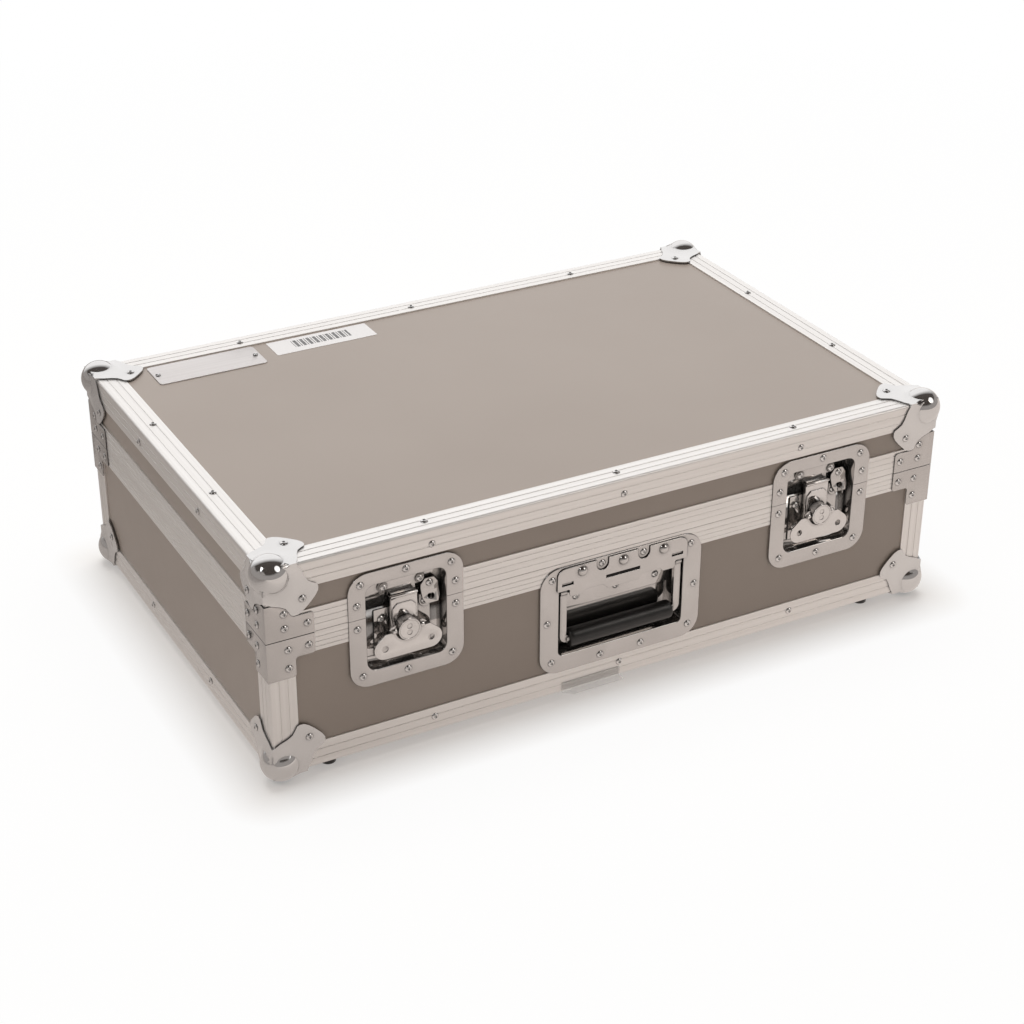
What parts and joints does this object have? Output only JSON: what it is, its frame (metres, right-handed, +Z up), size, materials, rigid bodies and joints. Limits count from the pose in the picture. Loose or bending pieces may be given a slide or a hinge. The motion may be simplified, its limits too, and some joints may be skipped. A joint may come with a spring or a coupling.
{
  "type": "guitar pedal case",
  "caption": "Hard travel case for a guitar pedalboard: laminated panels in riveted aluminium edging, ball corners, hinged lid, recessed turn latches and a sprung recessed handle.",
  "frame": {"origin": "on the ground under the middle of the closed case", "axes": "+X along the length of the case, -Y out of the front with the latches and the handle, +Z up"},
  "size_m": [0.717, 0.4689, 0.2275],
  "materials": {
    "laminate": "satin",
    "foam": "matte",
    "aluminium": "satin",
    "brace_steel": "satin",
    "chrome": "polished",
    "steel": "satin",
    "rubber": "matte",
    "plate": "satin",
    "label": "matte",
    "clear": "gloss"
  },
  "bodies": {
    "base": {"floor_panel": "laminate", "base_front_panel": "laminate", "base_back_panel": "laminate", "base_left_panel": "laminate", "base_right_panel": "laminate", "base_long_edges": "aluminium", "base_end_edges": "aluminium", "base_corner_posts": "aluminium", "base_front_band": "aluminium", "base_back_band": "aluminium", "base_end_bands": "aluminium", "base_ball_corners": "chrome", "base_corner_braces": "brace_steel", "base_fasteners": "chrome", "base_latch_dishes": "chrome", "latch_plates": "steel", "base_padlock_tabs": "chrome", "handle_dish": "chrome", "handle_cover_plate": "chrome", "handle_bolts": "chrome", "handle_spring_box": "chrome", "handle_pivot_rod": "steel", "handle_springs": "steel", "rubber_feet": "rubber", "floor_foam": "foam", "base_wall_foam": "foam", "hinge_base_leaves": "chrome", "hinge_pins": "steel", "clear_tab": "clear"},
    "lid": {"top_panel": "laminate", "lid_front_panel": "laminate", "lid_back_panel": "laminate", "lid_left_panel": "laminate", "lid_right_panel": "laminate", "lid_long_edges": "aluminium", "lid_end_edges": "aluminium", "lid_corner_posts": "aluminium", "lid_front_band": "aluminium", "lid_back_band": "aluminium", "lid_end_bands": "aluminium", "lid_ball_corners": "chrome", "lid_corner_braces": "brace_steel", "lid_fasteners": "chrome", "lid_latch_dishes": "chrome", "latch_keepers": "chrome", "lid_padlock_tabs": "chrome", "split_ring": "chrome", "top_foam": "foam", "lid_wall_foam": "foam", "hinge_lid_leaves": "chrome", "name_plate": "plate", "label": "label"},
    "left_cam": {"left_latch_cam": "chrome"},
    "right_cam": {"right_latch_cam": "chrome"},
    "left_wing": {"left_latch_wing": "chrome"},
    "right_wing": {"right_latch_wing": "chrome"},
    "left_hook": {"left_latch_hook": "chrome"},
    "right_hook": {"right_latch_hook": "chrome"},
    "handle": {"handle_bail": "chrome", "handle_grip": "rubber"}
  },
  "joints": [
    {"name": "lid_hinge", "type": "hinge", "parent": "base", "child": "lid", "pos_m": [0, 0.2305, 0.1485], "axis": [-1, 0, 0], "range_deg": [0, 105]},
    {"name": "left_latch_turn", "type": "hinge", "parent": "base", "child": "left_cam", "pos_m": [-0.219, -0.226, 0.1285], "axis": [0, -1, 0], "range_deg": [0, 180]},
    {"name": "right_latch_turn", "type": "hinge", "parent": "base", "child": "right_cam", "pos_m": [0.219, -0.226, 0.1285], "axis": [0, -1, 0], "range_deg": [0, 180]},
    {"name": "left_wing_fold", "type": "hinge", "parent": "left_cam", "child": "left_wing", "pos_m": [-0.219, -0.2284, 0.1285], "axis": [-1, 0, 0], "range_deg": [0, 90]},
    {"name": "right_wing_fold", "type": "hinge", "parent": "right_cam", "child": "right_wing", "pos_m": [0.219, -0.2284, 0.1285], "axis": [-1, 0, 0], "range_deg": [0, 90]},
    {"name": "left_hook_slide", "type": "slide", "parent": "base", "child": "left_hook", "axis": [0, 0, 1], "range_m": [0, 0.008]},
    {"name": "right_hook_slide", "type": "slide", "parent": "base", "child": "right_hook", "axis": [0, 0, 1], "range_m": [0, 0.008]},
    {"name": "handle_swing", "type": "hinge", "parent": "base", "child": "handle", "pos_m": [0, -0.2238, 0.117], "axis": [-1, 0, 0], "range_deg": [0, 90], "stiffness_Nm_per_rad": 0.03}
  ],
  "couplings": [
    {"joint": "left_latch_turn", "follows": "left_hook_slide", "rad_per_m": 392.7},
    {"joint": "right_latch_turn", "follows": "right_hook_slide", "rad_per_m": 392.7}
  ]
}
